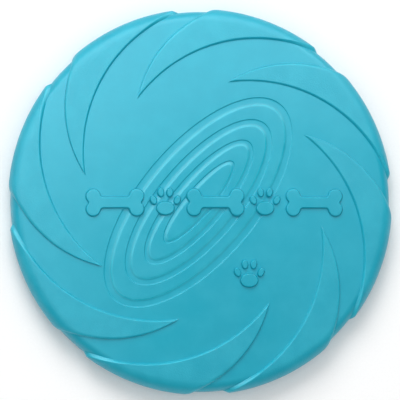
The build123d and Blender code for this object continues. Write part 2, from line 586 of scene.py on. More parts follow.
@dataclass(frozen=True)
class VaneRing:
    """Eight crescent vanes, each with a steep edge that faces the middle and a slack edge behind.

    Attributes:
        form: The disc's plain form.
        count: Number of vanes.
        height: How far a vane stands out at the rim.
        crown_radius: Radius of the flatter sphere that the vanes' tops follow.
        tip_radius: Distance from the axis to a vane's tip.
        tip_angle: Angle of the first vane's tip.
        steep_arc: Radius of the steep edge in the plan.
        steep_sweep: Angle from the tip back to the steep edge's end at the rim.
        slack_arc: Radius of the slack edge in the plan.
        slack_sweep: Angle from the tip back to the slack edge's end at the rim.
        foot_clearance: Gap between a vane's end and the foot's round.
        foot_height: How far a vane still stands out where it ends on the wall.
        foot_round: Length of the round at that end.
        steep_foot: How far outside the steep edge its climb starts.
        steep_crest: How far inside it the climb ends.
        slack_foot: How far outside the slack edge its climb starts.
        slack_crest: How far inside it the climb ends, at the tip and at the rim.
        slack_wear_and_shading_power: Power of the slack climb that the dust and painted crease
        shade follow, low so that none lies at its foot.
        tip_rows: Length of the crowded rows behind the tip.
        edge_share: Most of a narrow row's width that the columns beside its two edges take up.
    """

    form: DiscForm
    count: int = 8
    height: float = 1.5 * MM
    crown_radius: float = 480 * MM
    tip_radius: float = 56.8 * MM
    tip_angle: float = radians(77.4)
    steep_arc: float = 71.0 * MM
    steep_sweep: float = radians(69.7)
    slack_arc: float = 57.0 * MM
    slack_sweep: float = radians(37.3)
    foot_clearance: float = 0.4 * MM
    foot_height: float = 0.4 * MM
    foot_round: float = 0.4 * MM
    steep_foot: float = 0.66 * MM
    steep_crest: float = 0.30 * MM
    slack_foot: float = 0.05 * MM
    slack_crest: Pair = (0.5 * MM, 2.0 * MM)
    slack_wear_and_shading_power: float = 0.35
    tip_rows: float = 6 * MM
    edge_share: float = 0.9

    def _edge(self, end_radius: float, sweep: float, radius: float) -> PlanArc:
        """An edge of the first vane, from its tip to the rim.

        Args:
            end_radius: Distance from the axis to the edge's end.
            sweep: Angle from the tip back to that end.
            radius: The edge's own radius.

        Returns:
            The edge.
        """
        tip = self.tip_radius * np.array([cos(self.tip_angle), sin(self.tip_angle)])
        end = self.tip_angle - sweep
        return PlanArc.through(tip, end_radius * np.array([cos(end), sin(end)]), radius)

    def _runs(self, start: float) -> Array:
        """Places along the skin for a vane's rows, crowded at the tip, the shoulder and the foot.

        Args:
            start: The place of the first row.

        Returns:
            The places.
        """
        form = self.form
        end = form.wall_run + form.parting - form.foot_outer_round - self.foot_clearance
        tip = start + self.tip_rows * evenly(0, 1, steps=18) ** 2
        dome = evenly(tip[-1], form.turn_radius, steps=49)
        shoulder = evenly(form.turn_radius, form.wall_run, steps=21)
        wall = evenly(form.wall_run, end - self.foot_round, steps=25)
        foot = end - self.foot_round * evenly(1, 0, steps=8) ** 2
        return np.concatenate([tip[:-1], dome[:-1], shoulder[:-1], wall[:-1], foot])

    def _columns(self, r: Array, steep: PlanArc, slack: PlanArc, crest: Array) -> Array:
        """Angles of the vane's columns, which crowd along its two edges.

        Beside each edge, the columns are the same arc at growing offsets. Where the vane is too
        narrow for both sets, near its tip, both are shrunk by one share.

        Args:
            r: Distance from the axis of each row, shaped (rows, 1).
            steep: The steep edge.
            slack: The slack edge.
            crest: Width of the slack edge's round on each row, shaped (rows, 1).

        Returns:
            Angles about the axis, shaped (rows, columns), from the steep edge to the slack edge.
        """
        into = evenly(-self.steep_foot, self.steep_crest, steps=15)
        back = -self.slack_foot + (crest + self.slack_foot) * evenly(0, 1, steps=13) ** 2
        low = steep.at(r, -self.steep_foot)
        high = slack.at(r, self.slack_foot)
        near = steep.at(r, into) - low
        far = high - slack.at(r, -back)
        taken = np.maximum(near[:, -1:] + far[:, -1:], SMALLEST)
        shrink = np.minimum(1, self.edge_share * (high - low) / taken)
        near, far = low + near * shrink, high - far * shrink
        share = evenly(0, 1, steps=23)[1:-1]
        middle = near[:, -1:] * (1 - share) + far[:, -1:] * share
        return np.concatenate([near, middle, far[:, ::-1]], axis=1)

    def _full_height(self, run: Array, r: Array) -> Array:
        """Height of a vane's top over the skin, away from its edges.

        On the dome it is the gap between the vanes' flatter sphere and the dome. On the wall it
        falls from the full height by the square of the drop.

        Args:
            run: Places along the skin.
            r: Distance from the axis at each.

        Returns:
            The heights.
        """
        form = self.form
        joins = form.shoulder_radius + self.height
        centre = form.parting - sqrt((self.crown_radius - joins) ** 2 - form.shoulder_axis**2)
        cap = centre + np.sqrt(self.crown_radius**2 - r**2) - form.dome(r, 0)
        length = form.parting - form.foot_outer_round - self.foot_clearance
        drop = np.maximum(run - form.wall_run, 0) / length
        wall = self.height - (self.height - self.foot_height) * drop**2
        return np.where(run < form.turn_radius, np.minimum(cap, self.height), wall)

    def _shell(self) -> Grid:
        """The first vane, closed: its top skin, and a hidden underside inside the plate and rim.

        Every point stands off the disc's skin along its normal. On the top, the stand-off is
        (height + sink) * steep climb * slack climb * end climb - sink. The rise that the rubbed
        crests and dust follow, with their painted highlight and painted shade, is steep climb *
        slack climb ^ the slack power.

        Returns:
            The grid, whose columns go over the top and back underneath.
        """
        steep = self._edge(self.form.body_radius, self.steep_sweep, self.steep_arc)
        slack = self._edge(self.form.body_radius + self.height, self.slack_sweep, self.slack_arc)
        # The first row is where the two edges' feet, traced in towards the axis, meet.
        probe = self.tip_radius + evenly(-4, 2, steps=600) * MM
        gap = slack.at(probe, self.slack_foot) - steep.at(probe, -self.steep_foot)
        run = self._runs(float(np.interp(0, gap, probe)))[:, None]
        r, z, out, up = self.form.skin(run)
        share = (r - self.tip_radius) / (self.form.body_radius - self.tip_radius)
        tip_crest, rim_crest = self.slack_crest
        crest = tip_crest + (rim_crest - tip_crest) * np.clip(share, 0, 1)
        angle = self._columns(r, steep, slack, crest)

        beyond = steep.outside(r, angle)
        within = -slack.outside(r, angle)
        steep_rise = EdgeForm.STEEP.climb(beyond, self.steep_foot, self.steep_crest)
        slack_rise = EdgeForm.SLACK.climb(within, self.slack_foot, crest)
        end_rise = EdgeForm.SLACK.climb(run[-1] - run, 0, self.foot_round)
        rise = steep_rise * slack_rise * end_rise
        # the rise that the rubbed crests and dust follow: they paint in a highlight on the crests
        # and shade in the creases
        wear_and_shading = steep_rise * slack_rise**self.slack_wear_and_shading_power
        bead = np.where(run > self.form.wall_run, self.form.bead(z), 0)
        stand = (self._full_height(run, r) + SINK + bead) * rise - SINK
        stand = np.concatenate([stand, np.full((1, stand.shape[1]), -ROOT_DEPTH)])
        r, z, out, up, angle, wear_and_shading = (
            np.concatenate([item, item[-1:]]) for item in (r, z, out, up, angle, wear_and_shading)
        )

        stand = np.concatenate([stand, np.full(stand.shape, -ROOT_DEPTH)], axis=1)
        angle = np.concatenate([angle, angle[:, ::-1]], axis=1)
        wear_and_shading = np.concatenate([wear_and_shading, 0 * wear_and_shading], axis=1)
        reach = r + stand * out
        points = np.stack([reach * np.cos(angle), reach * np.sin(angle), z + stand * up], axis=-1)
        return Grid(points, wear_and_shading)

    def build(self) -> list[bpy.types.Object]:
        """Builds the vanes: the first one, turned about the axis to each place.

        Returns:
            The vanes, in order.
        """
        first = self._shell()
        pieces = []
        for number in range(self.count):
            turn = TURN * number / self.count
            across = np.array([[cos(turn), sin(turn), 0], [-sin(turn), cos(turn), 0], [0, 0, 1]])
            grid = Grid(first.points @ across, first.rise)
            pieces.append(make_piece(f"crescent_vane_{number + 1}", [grid]))
        return pieces

    def dress(self, pieces: Sequence[bpy.types.Object], finish: "RubberFinish") -> None:
        """Gives the vanes their finish and their places on the frame."""
        for number, piece in enumerate(pieces):
            mount(piece, f"vane_{number + 1}", finish)


# The bones and paw prints


@dataclass(frozen=True)
class PadOutline:
    """A pad's outline in the plan, with the middle line that its rings shrink to.

    Attributes:
        edge: Points round the outline, shaped (points, 2).
        normal: Outward normals there.
        spine: The point of the middle line that each of them is drawn in to.
    """

    edge: Array
    normal: Array
    spine: Array

    @classmethod
    def ellipse(cls, half_x: float, half_y: float) -> "PadOutline":
        """An upright or lying ellipse about the origin.

        Its normal is (x / half_x^2, y / half_y^2), made a unit. Its spine is half of the
        ellipse's focal line.

        Args:
            half_x: Half its width.
            half_y: Half its height.

        Returns:
            The outline.
        """
        turn = round_angles(ELLIPSE_POINTS)
        edge = np.stack([half_x * np.cos(turn), half_y * np.sin(turn)], axis=-1)
        normal = edge / np.array([half_x**2, half_y**2])
        normal = normal / np.linalg.norm(normal, axis=1, keepdims=True)
        focal = np.sqrt(np.maximum([half_x**2 - half_y**2, half_y**2 - half_x**2], 0)) / 2
        return cls(edge, normal, focal * np.stack([np.cos(turn), np.sin(turn)], axis=-1))

    def placed(self, x: float, y: float, lean: float = 0.0) -> "PadOutline":
        """The outline turned by the lean and then moved.

        Args:
            x: How far it moves along X.
            y: How far it moves along Y.
            lean: Angle that it turns by.

        Returns:
            The new outline.
        """
        turn = np.array([[cos(lean), sin(lean)], [-sin(lean), cos(lean)]])
        move = np.array([x, y])
        return PadOutline(self.edge @ turn + move, self.normal @ turn, self.spine @ turn + move)


@dataclass(frozen=True)
class Bone:
    """A bone seen from above, lying along X: a shaft and two knobs at each end, with fillets.

    Attributes:
        length: Its whole length.
        shaft: Width of the shaft.
        knob_radius: Radius of each knob.
        knob_spread: Distance from the bone's middle line to a knob's centre.
        neck_fillet: Radius of the fillet between the shaft and a knob.
        notch_fillet: Radius of the fillet between an end's two knobs.
        spine_trim: How far short of the knobs' centres the spine ends, in knob radii.
    """

    length: float
    shaft: float = 5.4 * MM
    knob_radius: float = 3.5 * MM
    knob_spread: float = 3.0 * MM
    neck_fillet: float = 1.3 * MM
    notch_fillet: float = 0.9 * MM
    spine_trim: float = 0.2

    def outline(self) -> PadOutline:
        """The outline: one quarter, of a line and three tangent arcs, and its mirror images.

        Returns:
            The outline, clockwise from the middle of the shaft's upper side.
        """
        knob = np.array([self.length / 2 - self.knob_radius, self.knob_spread])
        neck_y = self.shaft / 2 + self.neck_fillet
        reach = self.knob_radius + self.neck_fillet
        neck = np.array([knob[0] - sqrt(reach**2 - (neck_y - knob[1]) ** 2), neck_y])
        notch_reach = self.knob_radius + self.notch_fillet
        notch = np.array([knob[0] + sqrt(notch_reach**2 - knob[1] ** 2), 0.0])
        neck_angle = atan2(neck[1] - knob[1], neck[0] - knob[0])
        notch_angle = atan2(notch[1] - knob[1], notch[0] - knob[0])

        shaft_x = evenly(0, neck[0], steps=17)[:-1]
        line = np.stack([shaft_x, np.full(len(shaft_x), self.shaft / 2)], axis=-1)
        line_normal = np.tile([0.0, 1.0], (len(shaft_x), 1))
        neck_arc = arc(tuple(neck), self.neck_fillet, -pi / 2, neck_angle - pi, steps=8)[:-1]
        knob_arc = arc(tuple(knob), self.knob_radius, neck_angle, notch_angle, steps=36)[:-1]
        notch_arc = arc(tuple(notch), self.notch_fillet, notch_angle + pi, pi, steps=7)
        edge = np.concatenate([line, neck_arc, knob_arc, notch_arc])
        normal = np.concatenate(
            [
                line_normal,
                (neck - neck_arc) / self.neck_fillet,
                (knob_arc - knob) / self.knob_radius,
                (notch - notch_arc) / self.notch_fillet,
            ]
        )
        quarters = []
        for values in (edge, normal):
            lower = values[-2::-1] * [1, -1]
            half = np.concatenate([values, lower])
            other = half[-2:0:-1] * [-1, 1]
            quarters.append(np.concatenate([half, other]))
        edge, normal = quarters
        limit = knob[0] - self.spine_trim * self.knob_radius
        spine = np.stack([np.clip(edge[:, 0], -limit, limit), 0 * edge[:, 0]], axis=-1)
        return PadOutline(edge, normal, spine)


@dataclass(frozen=True)
class Paw:
    """A paw print seen from above: a broad heel pad and four toe pads.

    Attributes:
        width: Its whole width, which the other sizes are shares of.
        heel_size: The heel pad's width and height.
        heel_centre: How far up the heel pad's centre lies.
        toe_size: A toe pad's width and height.
        toes: Each toe pad's place across and up, and its lean in degrees.
    """

    width: float = 14.4 * MM
    heel_size: Pair = (0.60, 0.46)
    heel_centre: float = -0.19
    toe_size: Pair = (0.22, 0.31)
    toes: tuple[Triple, ...] = (
        (-0.385, 0.07, 24.0),
        (-0.145, 0.32, 8.0),
        (0.145, 0.32, -8.0),
        (0.385, 0.07, -24.0),
    )

    def outlines(self) -> list[PadOutline]:
        """The outlines of the pads, about the paw's centre.

        Returns:
            The heel's outline, and then the toes'.
        """
        heel = PadOutline.ellipse(*(self.width * share / 2 for share in self.heel_size))
        toe = PadOutline.ellipse(*(self.width * share / 2 for share in self.toe_size))
        pads = [heel.placed(0, self.heel_centre * self.width)]
        for x, y, lean in self.toes:
            pads.append(toe.placed(x * self.width, y * self.width, radians(lean)))
        return pads


@dataclass(frozen=True)
class Motifs:
    """A row of raised bones and paw prints in turn, and one more paw print below it.

    Attributes:
        form: The disc's plain form.
        bone_count: Number of bones. One paw print stands between each two.
        bone_length: Length of each bone.
        row_start: X of the row's left end.
        pitch: Distance from one bone to the next.
        row_y: Y of the row's middle line.
        low_paw: Centre of the paw print below the row.
        height: How far the motifs stand out.
        foot: How far outside a motif's line its climb starts.
        crest: How far inside that line the climb ends.
    """

    form: DiscForm
    bone_count: int = 3
    bone_length: float = 27.1 * MM
    row_start: float = -55.1 * MM
    pitch: float = 46.7 * MM
    row_y: float = -1.0 * MM
    low_paw: Pair = (21.0 * MM, -34.5 * MM)
    height: float = 1.3 * MM
    foot: float = 0.25 * MM
    crest: float = 0.55 * MM

    def _pad(self, outline: PadOutline) -> Grid:
        """One raised pad, closed.

        Near its edge, each ring is the outline moved along its normals. Further in, the rings
        shrink in a straight line to the spine. The height over the dome is
        (height + sink) * climb - sink.

        Args:
            outline: The pad's outline in the plan.

        Returns:
            The grid, from the hidden underside's spine, out, up the wall and in to the top's spine.
        """
        inset = np.concatenate([[-self.foot], evenly(-self.foot, self.crest, steps=18)])
        inset = inset[:, None, None]
        rings = outline.edge - inset * outline.normal
        share = evenly(0, 1, steps=7)[1:, None, None]
        top = rings[-1] * (1 - share) + outline.spine * share
        plan = np.concatenate([outline.spine[None], rings, top])
        rise = EdgeForm.STEEP.climb(inset[1:, 0, 0], self.foot, self.crest)
        rise = np.concatenate([[0, 0], rise, np.ones(len(top))])[:, None]
        stand = (self.height + SINK) * rise - SINK
        stand[:2] = -ROOT_DEPTH
        x, y = plan[..., 0], plan[..., 1]
        return Grid(np.stack([x, y, self.form.dome(x, y) + stand], axis=-1), rise + 0 * x)

    def build(self) -> dict[str, bpy.types.Object]:
        """Builds every bone and paw print.

        Returns:
            The pieces, by the name of the CAD node that each stands for.
        """
        pieces = {}
        bone = Bone(self.bone_length).outline()
        for number in range(self.bone_count):
            x = self.row_start + self.bone_length / 2 + number * self.pitch
            grid = self._pad(bone.placed(x, self.row_y))
            pieces[f"bone_motif_{number + 1}"] = make_piece(f"raised_bone_{number + 1}", [grid])
        first = self.row_start + (self.bone_length + self.pitch) / 2
        row_x = [first + number * self.pitch for number in range(self.bone_count - 1)]
        places = [(x, self.row_y) for x in row_x]
        for number, place in enumerate([*places, self.low_paw]):
            grids = [self._pad(outline.placed(*place)) for outline in Paw().outlines()]
            pieces[f"paw_motif_{number + 1}"] = make_piece(f"raised_paw_{number + 1}", grids)
        return pieces

    def dress(self, pieces: dict[str, bpy.types.Object], finish: "RubberFinish") -> None:
        """Gives the motifs their finish and their places on the frame."""
        for node, piece in pieces.items():
            mount(piece, node, finish)


# Rubber


class Socket(Enum):
    """Kinds of socket on a shared node group."""

    VALUE = "NodeSocketFloat"
    COLOUR = "NodeSocketColor"
    VECTOR = "NodeSocketVector"


class NodeBuilder:
    """Adds nodes to a tree and links them."""

    FINER_SHARE = 0.6  # strength of each finer layer of a noise beside the last
    NOISE_MIDDLE = 0.5
    MIX_INPUTS = (0, 6, 7)  # the Mix node's share and its two colours
    MIX_OUTPUT = 2  # its mixed colour

    def __init__(self, tree: bpy.types.NodeTree) -> None:
        """Takes over a node tree and empties it."""
        self.tree = tree
        tree.nodes.clear()

    def add(self, kind: str, **settings: object) -> bpy.types.Node:
        """Adds one node.

        Args:
            kind: The node's type.
            settings: Values for its properties.

        Returns:
            The node.
        """
        node = self.tree.nodes.new(kind)
        for key, value in settings.items():
            setattr(node, key, value)
        return node

    def feed(self, socket: bpy.types.NodeSocket, value: object) -> None:
        """Links an output to a socket, or sets the socket's own value.

        Args:
            socket: The input.
            value: An output socket, a number or a colour.
        """
        if isinstance(value, bpy.types.NodeSocket):
            self.tree.links.new(value, socket)
        else:
            socket.default_value = value

    def feed_all(self, node: bpy.types.Node, values: dict[str, object]) -> bpy.types.Node:
        """Feeds a node's inputs by name.

        Args:
            node: The node.
            values: What each named input takes.

        Returns:
            The node.
        """
        for key, value in values.items():
            self.feed(node.inputs[key], value)
        return node

    def math(self, operation: str, *values: object) -> bpy.types.NodeSocket:
        """Works out one step of arithmetic.

        Args:
            operation: The Math node's operation.
            values: Its inputs, in order.

        Returns:
            The result.
        """
        node = self.add("ShaderNodeMath", operation=operation)
        for socket, value in zip(node.inputs, values):
            self.feed(socket, value)
        return node.outputs[0]

    def product(self, first: object, *others: object) -> object:
        """Multiplies values together, from left to right.

        Args:
            first: The first value.
            others: The rest of them.

        Returns:
            The product.
        """
        for value in others:
            first = self.math("MULTIPLY", first, value)
        return first

    def ramp(self, value: object, start: Pair, end: Pair) -> bpy.types.NodeSocket:
        """Maps a value smoothly from one range to another.

        Args:
            value: The value.
            start: The value at the low end, and what it becomes.
            end: The value at the high end, and what it becomes.

        Returns:
            The mapped value.
        """
        node = self.add("ShaderNodeMapRange", interpolation_type="SMOOTHSTEP")
        ends = {"From Min": start[0], "From Max": end[0], "To Min": start[1], "To Max": end[1]}
        return self.feed_all(node, {"Value": value, **ends}).outputs["Result"]

    def mix(self, share: object, first: object, second: object) -> bpy.types.NodeSocket:
        """Mixes two colours.

        Args:
            share: How much of the second.
            first: The first colour.
            second: The second colour.

        Returns:
            The mixed colour.
        """
        node = self.add("ShaderNodeMix", data_type="RGBA")
        for number, value in zip(self.MIX_INPUTS, (share, first, second)):
            self.feed(node.inputs[number], value)
        return node.outputs[self.MIX_OUTPUT]

    def noise(self, vector: object, scale: object, detail: float) -> bpy.types.NodeSocket:
        """Reads a noise texture.

        Args:
            vector: Where to read it.
            scale: Its waves in each metre.
            detail: How many finer layers it has.

        Returns:
            The noise, which wanders about its middle.
        """
        node = self.add("ShaderNodeTexNoise")
        values = {"Vector": vector, "Scale": scale, "Detail": detail}
        values["Roughness"] = self.FINER_SHARE
        return self.feed_all(node, values).outputs["Fac"]

    def cells(self, vector: object, scale: object) -> bpy.types.Node:
        """Reads a cell texture.

        Args:
            vector: Where to read it.
            scale: Its cells in each metre.

        Returns:
            The texture's node.
        """
        node = self.add("ShaderNodeTexVoronoi")
        return self.feed_all(node, {"Vector": vector, "Scale": scale})

    def group(self, tree: bpy.types.NodeTree, values: dict[str, object]) -> bpy.types.NodeSocket:
        """Places a shared group here.

        Args:
            tree: The group.
            values: What each of its inputs takes.

        Returns:
            The group's one output.
        """
        node = self.add("ShaderNodeGroup", node_tree=tree)
        return self.feed_all(node, values).outputs[0]


@dataclass(frozen=True)
class GroupForm:
    """A shared shader node group's name, its inputs, and its one output.

    Attributes:
        name: The group's name.
        inputs: The kind of each named input.
        output: The output's name and kind.
    """

    name: str
    inputs: dict[str, Socket]
    output: tuple[str, Socket]

    def start(self) -> tuple[NodeBuilder, bpy.types.NodeOutputs, bpy.types.NodeSocket]:
        """Makes the empty group.

        Returns:
            Its builder, the sockets that give its inputs, and the socket that takes its output.
        """
        tree = bpy.data.node_groups.new(self.name, "ShaderNodeTree")
        for key, kind in self.inputs.items():
            tree.interface.new_socket(key, in_out="INPUT", socket_type=kind.value)
        key, kind = self.output
        tree.interface.new_socket(key, in_out="OUTPUT", socket_type=kind.value)
        build = NodeBuilder(tree)
        return build, build.add("NodeGroupInput").outputs, build.add("NodeGroupOutput").inputs[0]


class RubberGroups:
    """The shader node groups that the rubber finishes share, each built once.

    Waves and cells are counted in each metre. A range is a pair of pairs: where a ramp starts and
    what it gives there, and where it ends and what it gives there.
    """

    DEEP = (0.0, 0.27, 0.40, 1.0)  # rubber where the pigment is thick
    # dark dust in the creases, which also paints in their shade
    DUST_AND_SHADE = (0.0, 0.15, 0.21, 1.0)
    SPECK = (0.0, 0.12, 0.16, 1.0)
    CLOUD_WAVES = 30.0
    CLOUD_RANGE = ((0.35, 0.0), (0.7, 1.0))
    BLOOM_WAVES = 110.0
    BLOOM_RANGE = ((0.35, 0.0), (0.72, 1.0))
    SPECK_CELLS = 75.0
    SPECK_CHANCE = 0.95  # a cell has a speck where its random value is above this
    SPECK_RANGE = ((0.015, 1.0), (0.03, 0.0))  # by the distance from the cell's middle, in cells
    # noise that breaks up the pale rubbed crests, which also paint in a highlight
    RUB_AND_HIGHLIGHT_WAVES = 260.0
    RUB_AND_HIGHLIGHT_RANGE = ((0.3, 0.5), (0.65, 1.0))
    PIT_SHARE = 0.7  # height of the cells in the stipple beside its noise
    UNEVEN_WAVES = 150.0
    RING_PITCH = 0.0009  # from one turned ring on the underside to the next
    HAND_WAVES = 55.0
    POLISH = 0.4  # how far a rubbed crest's roughness falls

    def __init__(self) -> None:
        """Builds the groups."""
        self.tone = self._tone()
        self.wear_and_shading = self._wear_and_shading()
        self.grain = self._grain()
        self.sheen = self._sheen()

    def _tone(self) -> bpy.types.NodeTree:
        """The pigment: uneven clouds, a pale bloom on the surface, and a few dark specks.

        Returns:
            The group.
        """
        inputs = {"Vector": Socket.VECTOR, "Colour": Socket.COLOUR, "Bloom Colour": Socket.COLOUR}
        inputs |= {key: Socket.VALUE for key in ("Cloud", "Bloom", "Speck")}
        build, given, out = GroupForm("rubber_tone", inputs, ("Colour", Socket.COLOUR)).start()
        vector = given["Vector"]
        cloud = build.ramp(build.noise(vector, self.CLOUD_WAVES, detail=4.0), *self.CLOUD_RANGE)
        cloud = build.product(cloud, given["Cloud"])
        colour = build.mix(cloud, given["Colour"], self.DEEP)
        bloom = build.ramp(build.noise(vector, self.BLOOM_WAVES, detail=5.0), *self.BLOOM_RANGE)
        bloom = build.product(bloom, given["Bloom"])
        colour = build.mix(bloom, colour, given["Bloom Colour"])
        cells = build.cells(vector, self.SPECK_CELLS)
        parts = build.add("ShaderNodeSeparateColor")
        build.feed(parts.inputs[0], cells.outputs["Color"])
        chosen = build.math("GREATER_THAN", parts.outputs[0], self.SPECK_CHANCE)
        spot = build.ramp(cells.outputs["Distance"], *self.SPECK_RANGE)
        speck = build.product(chosen, spot, given["Speck"])
        build.feed(out, build.mix(speck, colour, self.SPECK))
        return build.tree

    def _wear_and_shading(self) -> bpy.types.NodeTree:
        """Handling and painted light: pale rubbed crests that also paint a highlight where an edge
        tops out, and dust that also paints shade in the crease at its foot.

        With rise r, the rub and highlight follow r^2 (1 - r), and the dust and shade follow
        r (1 - r)^2.

        Returns:
            The group.
        """
        inputs = {"Vector": Socket.VECTOR, "Rise": Socket.VALUE, "Colour": Socket.COLOUR}
        inputs |= {"Pale Colour": Socket.COLOUR, "Rub": Socket.VALUE, "Dust": Socket.VALUE}
        build, given, out = GroupForm("edge_wear_and_shading", inputs, ("Colour", Socket.COLOUR)).start()
        rise = given["Rise"]
        fall = build.math("SUBTRACT", 1.0, rise)
        slope = build.product(rise, fall)
        noise = build.noise(given["Vector"], self.RUB_AND_HIGHLIGHT_WAVES, detail=3.0)
        # pale rub along the crest, which also paints in a highlight
        crest = build.product(slope, rise, build.ramp(noise, *self.RUB_AND_HIGHLIGHT_RANGE), given["Rub"])
        # dust in the crease, which also paints in shade
        crease = build.product(slope, fall, given["Dust"])
        colour = build.mix(crest, given["Colour"], given["Pale Colour"])
        build.feed(out, build.mix(crease, colour, self.DUST_AND_SHADE))
        return build.tree

    def _grain(self) -> bpy.types.NodeTree:
        """Height: the mould's pitted stipple, a long unevenness, and turned rings underneath.

        Returns:
            The group.
        """
        keys = ("Inner", "Pitch", "Stipple", "Unevenness", "Rings")
        inputs = {"Vector": Socket.VECTOR, **{key: Socket.VALUE for key in keys}}
        build, given, out = GroupForm("mould_grain", inputs, ("Height", Socket.VALUE)).start()
        vector = given["Vector"]
        scale = build.math("DIVIDE", 1.0, given["Pitch"])
        pits = build.product(build.cells(vector, scale).outputs["Distance"], self.PIT_SHARE)
        fine = build.math("ADD", build.noise(vector, scale, detail=3.0), pits)
        height = build.product(fine, given["Stipple"])
        uneven = build.noise(vector, self.UNEVEN_WAVES, detail=2.0)
        height = build.math("MULTIPLY_ADD", uneven, given["Unevenness"], height)
        parts = build.add("ShaderNodeSeparateXYZ")
        build.feed(parts.inputs[0], vector)
        squares = [build.product(parts.outputs[axis], parts.outputs[axis]) for axis in (0, 1)]
        distance = build.math("SQRT", build.math("ADD", *squares))
        ring = build.math("SINE", build.product(distance, TURN / self.RING_PITCH))
        rings = build.product(ring, given["Inner"], given["Rings"])
        build.feed(out, build.math("ADD", height, rings))
        return build.tree

    def _sheen(self) -> bpy.types.NodeTree:
        """Roughness: patchy where hands have been, and polished along the crests.

        Returns:
            The group.
        """
        inputs = {"Vector": Socket.VECTOR}
        inputs |= {key: Socket.VALUE for key in ("Rise", "Roughness", "Patchiness")}
        build, given, out = GroupForm("rubber_sheen", inputs, ("Roughness", Socket.VALUE)).start()
        noise = build.noise(given["Vector"], self.HAND_WAVES, detail=4.0)
        patch = build.math("SUBTRACT", noise, build.NOISE_MIDDLE)
        rough = build.math("MULTIPLY_ADD", patch, given["Patchiness"], given["Roughness"])
        rise = given["Rise"]
        slope = build.product(rise, build.math("SUBTRACT", 1.0, rise))
        polish = build.product(slope, rise, self.POLISH)
        build.feed(out, build.math("SUBTRACT", rough, polish))
        return build.tree


@dataclass(frozen=True)
class RubberFinish:
    """One finish of the moulded turquoise rubber.

    Attributes:
        name: The material's name.
        slot: The record's material slot that it stands for. Not used.
        groups: The node groups that the finishes share.
        colour: The rubber's own colour.
        pale: Colour of the bloom, and of rubbed edges with their painted highlight.
        cloud: Strength of the uneven pigment.
        bloom: Strength of the pale bloom.
        speck: Strength of the dark specks.
        rub_and_highlight: Strength of the pale rubbed crests, with their painted highlight.
        dust_and_shade: Strength of the dust and painted shade in creases.
        roughness: Mean roughness.
        patchiness: How far the roughness wanders.
        pitch: Mean distance between the mould's pits.
        stipple: Depth of those pits.
        unevenness: Height of the long unevenness.
        rings: Height of the turned rings on the underside.
        specular: Strength of the gloss.
    """

    name: str
    slot: str
    groups: RubberGroups
    colour: Colour = (0.0, 0.366, 0.499, 1.0)
    pale: Colour = (0.03, 0.57, 0.71, 1.0)
    cloud: float = 0.1
    bloom: float = 0.1
    speck: float = 0.6
    # the rub paints in a highlight on crests, and the dust paints in shade in creases
    rub_and_highlight: float = 3.4
    dust_and_shade: float = 1.1
    roughness: float = 0.33
    patchiness: float = 0.25
    pitch: float = 0.35 * MM
    stipple: float = 0.006 * MM
    unevenness: float = 0.015 * MM
    rings: float = 0.004 * MM
    specular: float = 0.36

    @cached_property
    def material(self) -> bpy.types.Material:
        """The finish's material, built from the shared groups the first time that it is read.

        Returns:
            The material.
        """
        material = bpy.data.materials.new(self.name)
        material.use_nodes = True
        build = NodeBuilder(material.node_tree)
        vector = build.add("ShaderNodeTexCoord").outputs["Object"]
        rise = build.add("ShaderNodeAttribute", attribute_name="rise").outputs["Fac"]
        inner = build.add("ShaderNodeAttribute", attribute_name="inner").outputs["Fac"]
        tone = {"Vector": vector, "Colour": self.colour, "Bloom Colour": self.pale}
        tone |= {"Cloud": self.cloud, "Bloom": self.bloom, "Speck": self.speck}
        # the edge group paints in a highlight on the crests and shade in the creases, with the rub
        # and dust
        wear_and_shading = {"Vector": vector, "Rise": rise, "Colour": build.group(self.groups.tone, tone)}
        wear_and_shading |= {"Pale Colour": self.pale, "Rub": self.rub_and_highlight, "Dust": self.dust_and_shade}
        sheen = {"Vector": vector, "Rise": rise}
        sheen |= {"Roughness": self.roughness, "Patchiness": self.patchiness}
        grain = {"Vector": vector, "Inner": inner, "Pitch": self.pitch}
        grain |= {"Stipple": self.stipple, "Unevenness": self.unevenness, "Rings": self.rings}
        height = build.group(self.groups.grain, grain)
        bump = build.add("ShaderNodeBump")
        build.feed_all(bump, {"Strength": 1.0, "Distance": 1.0, "Height": height})
        rubber = build.add("ShaderNodeBsdfPrincipled")
        values = {
            "Base Color": build.group(self.groups.wear_and_shading, wear_and_shading),
            "Roughness": build.group(self.groups.sheen, sheen),
            "Normal": bump.outputs["Normal"],
            "Specular IOR Level": self.specular,
        }
        build.feed_all(rubber, values)
        surface = build.add("ShaderNodeOutputMaterial")
        build.feed(surface.inputs["Surface"], rubber.outputs[0])
        return material


# The studio


class LightUse(Enum):
    """What a studio light is for: lighting surfaces evenly, or showing in their gloss."""

    EVEN = "even"
    GLOSS = "gloss"


@dataclass(frozen=True)
class SoftLight:
    """One soft rectangular studio light that faces the disc.

    Attributes:
        name: The light's name.
        place: Its centre.
        size: Its width and height.
        power: Its power in watts.
        use: What it is for.
    """

    name: str
    place: Triple
    size: Pair
    power: float
    use: LightUse

    def build(self) -> None:
        """Adds the light, turned to face the origin."""
        data = bpy.data.lights.new(self.name, "AREA")
        data.shape = "RECTANGLE"
        data.size, data.size_y = self.size
        data.energy = self.power
        light = bpy.data.objects.new(self.name, data)
        light.location = self.place
        light.rotation_euler = Vector(self.place).to_track_quat("Z", "Y").to_euler()
        light.visible_camera = False
        light.visible_diffuse = self.use is LightUse.EVEN
        light.visible_glossy = self.use is LightUse.GLOSS
        bpy.context.scene.collection.objects.link(light)


